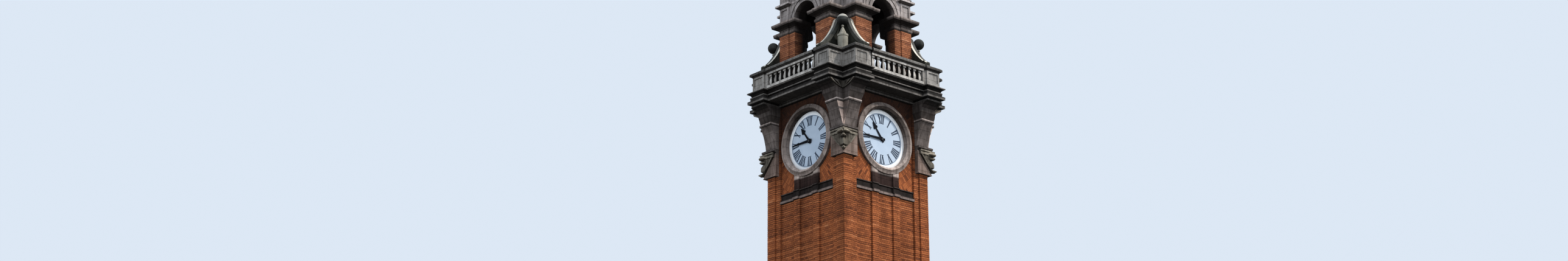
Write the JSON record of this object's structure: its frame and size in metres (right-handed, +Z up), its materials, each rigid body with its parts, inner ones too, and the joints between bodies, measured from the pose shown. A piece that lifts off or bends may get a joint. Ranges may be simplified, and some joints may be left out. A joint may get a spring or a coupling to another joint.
{
  "type": "clock tower",
  "caption": "Brick and stone clock tower with a dial on each side, a balustraded balcony on corner brackets, an open arched belfry and a domed roof.",
  "frame": {"origin": "on the ground at the centre of the tower's plan", "axes": "+Z up, -Y to the front, which is the sunlit side of the picture, -X to the tower's other seen side"},
  "size_m": [5.97, 5.97, 34.9],
  "materials": {
    "brick": "red brick",
    "stone": "weathered sandstone",
    "pale_stone": "pale stone",
    "dial_glass": "opal glass",
    "black_iron": "black paint",
    "lead": "weathered lead",
    "oak": "dark stained oak"
  },
  "bodies": {
    "tower": {"corner_pier_front_left": "brick", "corner_pier_front_right": "brick", "corner_pier_back_right": "brick", "corner_pier_back_left": "brick", "shaft_wall_front": "brick", "shaft_wall_right": "brick", "shaft_wall_back": "brick", "shaft_wall_left": "brick", "dial_wall_front": "brick", "dial_wall_right": "brick", "dial_wall_back": "brick", "dial_wall_left": "brick", "belfry_pier_front_left": "brick", "belfry_pier_front_right": "brick", "belfry_pier_back_right": "brick", "belfry_pier_back_left": "brick", "plinth": "stone", "string_courses": "stone", "dial_surrounds": "stone", "corner_brackets": "stone", "main_cornice": "stone", "corner_pedestals": "stone", "imposts": "stone", "scroll_buttresses": "stone", "roof_cornice": "stone", "roof_drum": "stone", "door_surround": "stone", "belfry_arch_front": "stone", "balustrade_front": "pale_stone", "belfry_arch_right": "stone", "balustrade_right": "pale_stone", "belfry_arch_back": "stone", "balustrade_back": "pale_stone", "belfry_arch_left": "stone", "balustrade_left": "pale_stone", "balcony_floor": "stone", "ground_floor": "stone", "clock_dials": "dial_glass", "ball_finials": "stone", "dome": "lead", "roof_finial": "lead", "door": "oak"},
    "minute_hand_front": {"minute_hand_front": "black_iron"},
    "hour_hand_front": {"hour_hand_front": "black_iron"},
    "minute_hand_right": {"minute_hand_right": "black_iron"},
    "hour_hand_right": {"hour_hand_right": "black_iron"},
    "minute_hand_back": {"minute_hand_back": "black_iron"},
    "hour_hand_back": {"hour_hand_back": "black_iron"},
    "minute_hand_left": {"minute_hand_left": "black_iron"},
    "hour_hand_left": {"hour_hand_left": "black_iron"}
  },
  "joints": [
    {"name": "minute_front", "type": "hinge", "parent": "tower", "child": "minute_hand_front", "pos_m": [0, -1.914, 22.7], "axis": [0, 1, 0], "continuous": true},
    {"name": "hour_front", "type": "hinge", "parent": "tower", "child": "hour_hand_front", "pos_m": [0, -1.914, 22.7], "axis": [0, 1, 0], "continuous": true},
    {"name": "minute_right", "type": "hinge", "parent": "tower", "child": "minute_hand_right", "pos_m": [1.914, 0, 22.7], "axis": [-1, 0, 0], "continuous": true},
    {"name": "hour_right", "type": "hinge", "parent": "tower", "child": "hour_hand_right", "pos_m": [1.914, 0, 22.7], "axis": [-1, 0, 0], "continuous": true},
    {"name": "minute_back", "type": "hinge", "parent": "tower", "child": "minute_hand_back", "pos_m": [0, 1.914, 22.7], "axis": [0, -1, 0], "continuous": true},
    {"name": "hour_back", "type": "hinge", "parent": "tower", "child": "hour_hand_back", "pos_m": [0, 1.914, 22.7], "axis": [0, -1, 0], "continuous": true},
    {"name": "minute_left", "type": "hinge", "parent": "tower", "child": "minute_hand_left", "pos_m": [-1.914, 0, 22.7], "axis": [1, 0, 0], "continuous": true},
    {"name": "hour_left", "type": "hinge", "parent": "tower", "child": "hour_hand_left", "pos_m": [-1.914, 0, 22.7], "axis": [1, 0, 0], "continuous": true}
  ],
  "couplings": [
    {"joint": "hour_front", "follows": "minute_front", "ratio": 0.083333},
    {"joint": "minute_right", "follows": "minute_front", "ratio": 1},
    {"joint": "hour_right", "follows": "minute_front", "ratio": 0.083333},
    {"joint": "minute_back", "follows": "minute_front", "ratio": 1},
    {"joint": "hour_back", "follows": "minute_front", "ratio": 0.083333},
    {"joint": "minute_left", "follows": "minute_front", "ratio": 1},
    {"joint": "hour_left", "follows": "minute_front", "ratio": 0.083333}
  ]
}
